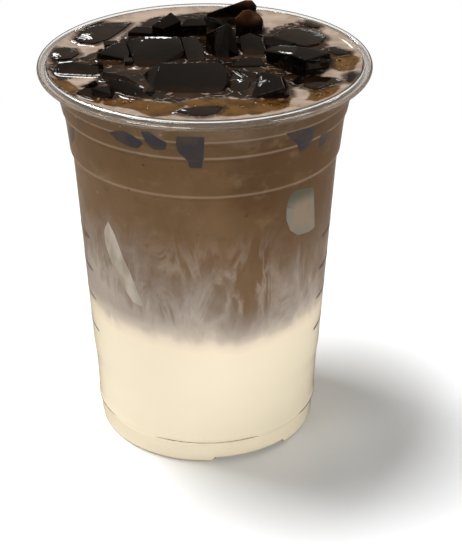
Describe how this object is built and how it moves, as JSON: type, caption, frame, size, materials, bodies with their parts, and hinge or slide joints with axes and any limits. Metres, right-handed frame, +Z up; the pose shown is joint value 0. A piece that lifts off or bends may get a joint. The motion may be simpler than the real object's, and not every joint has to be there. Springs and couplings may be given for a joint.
{
  "type": "iced hojicha latte with grass jelly in a clear plastic cup",
  "caption": "Clear moulded takeaway cup with rolled rim and footed base, filled with milk under hojicha and topped with cut grass jelly pieces.",
  "frame": {"origin": "centre of the cup's foot, on the surface that it stands on", "axes": "+Z up along the cup's axis; -Y is the front"},
  "size_m": [0.098, 0.098, 0.129],
  "materials": {
    "clear_plastic": "clear glossy moulded plastic",
    "milk": "opaque cream-coloured milk, seen through the cup",
    "hojicha": "brown roasted tea clouded with milk, wet surface",
    "grass_jelly": "near-black wet translucent jelly with crisp cut edges"
  },
  "bodies": {
    "root": {"cup": "clear_plastic", "milk_layer": "milk", "hojicha_tea": "hojicha", "jelly_block_back": "grass_jelly", "jelly_block_back_left": "grass_jelly", "jelly_block_front_left": "grass_jelly", "jelly_block_front_right": "grass_jelly", "jelly_block_left": "grass_jelly", "jelly_block_middle_right": "grass_jelly", "jelly_block_right": "grass_jelly", "jelly_block_right_back": "grass_jelly", "jelly_chip_right_edge": "grass_jelly", "jelly_corner_back": "grass_jelly", "jelly_cube_back": "grass_jelly", "jelly_cube_left_inner": "grass_jelly", "jelly_cube_left_outer": "grass_jelly", "jelly_dome_back": "grass_jelly", "jelly_fin_back": "grass_jelly", "jelly_lens_back_edge": "grass_jelly", "jelly_lens_left_back": "grass_jelly", "jelly_lens_left_edge": "grass_jelly", "jelly_lens_right_back": "grass_jelly", "jelly_lens_right_edge": "grass_jelly", "jelly_peak_middle": "grass_jelly", "jelly_slab_front": "grass_jelly", "jelly_slab_left_edge": "grass_jelly", "jelly_slab_left_front": "grass_jelly", "jelly_slab_left_middle": "grass_jelly", "jelly_slab_middle": "grass_jelly", "jelly_slab_right_front": "grass_jelly", "jelly_sliver_front": "grass_jelly", "jelly_sliver_front_edge": "grass_jelly", "jelly_sliver_middle": "grass_jelly", "jelly_wedge_front": "grass_jelly"}
  },
  "joints": []
}
